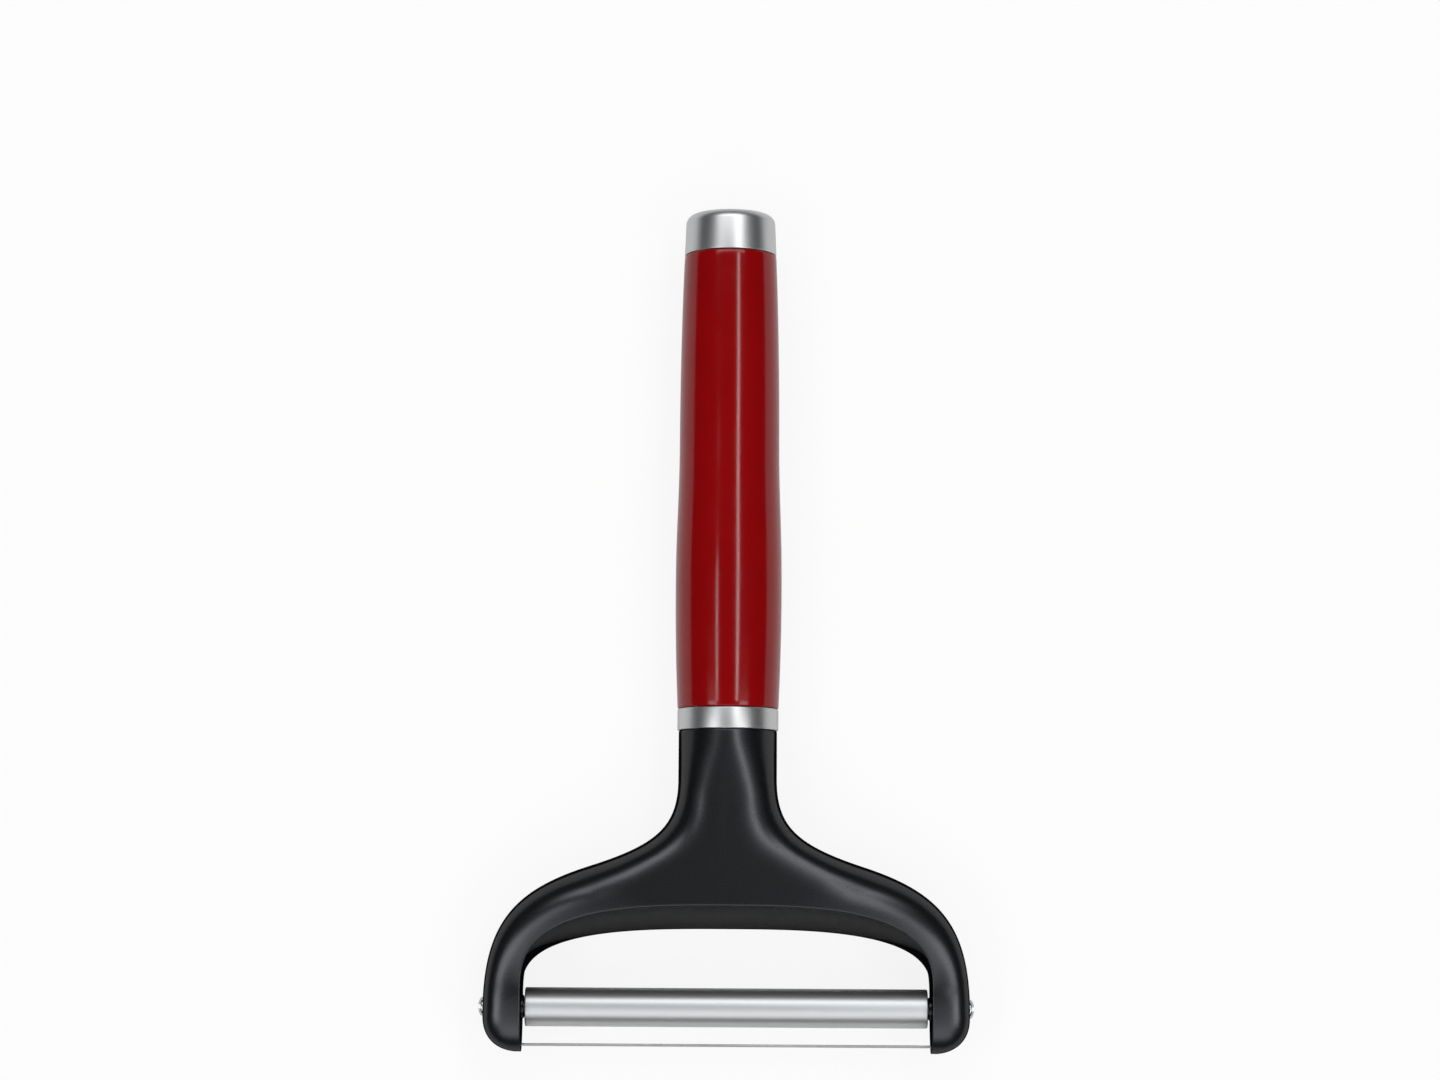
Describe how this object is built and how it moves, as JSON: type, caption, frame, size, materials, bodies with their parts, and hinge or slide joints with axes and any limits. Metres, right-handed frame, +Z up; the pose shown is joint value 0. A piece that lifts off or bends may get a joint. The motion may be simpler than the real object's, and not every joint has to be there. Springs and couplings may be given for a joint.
{
  "type": "roller cheese slicer",
  "caption": "Roller cheese slicer with a glossy red grip, steel end cap and ferrule, black forked head, free-spinning steel roller and a taut cutting wire below it.",
  "frame": {"origin": "centre of the tool's length and width, on the ground under it, with the tool lying on its back", "axes": "+X along the roller, +Y along the handle from the leg tips to the end cap, +Z up, out of the tool's front"},
  "size_m": [0.1086, 0.186, 0.0235],
  "materials": {
    "red_plastic": "gloss moulded ABS",
    "black_nylon": "satin moulded nylon",
    "polished_steel": "polished stainless sheet",
    "satin_steel": "centreless-ground stainless tube",
    "screw_steel": "bright stainless",
    "wire_steel": "drawn stainless spring wire"
  },
  "bodies": {
    "frame": {"end_cap": "polished_steel", "handle_grip": "red_plastic", "ferrule": "polished_steel", "yoke": "black_nylon", "pivot_screw_left": "screw_steel", "pivot_screw_right": "screw_steel", "cutting_wire": "wire_steel"},
    "roller": {"roller_tube": "satin_steel", "roller_plug_left": "black_nylon", "roller_plug_right": "black_nylon"}
  },
  "joints": [
    {"name": "roller_spin", "type": "hinge", "parent": "frame", "child": "roller", "pos_m": [0, -0.0833, 0.01176], "axis": [1, 0, 0], "continuous": true}
  ]
}
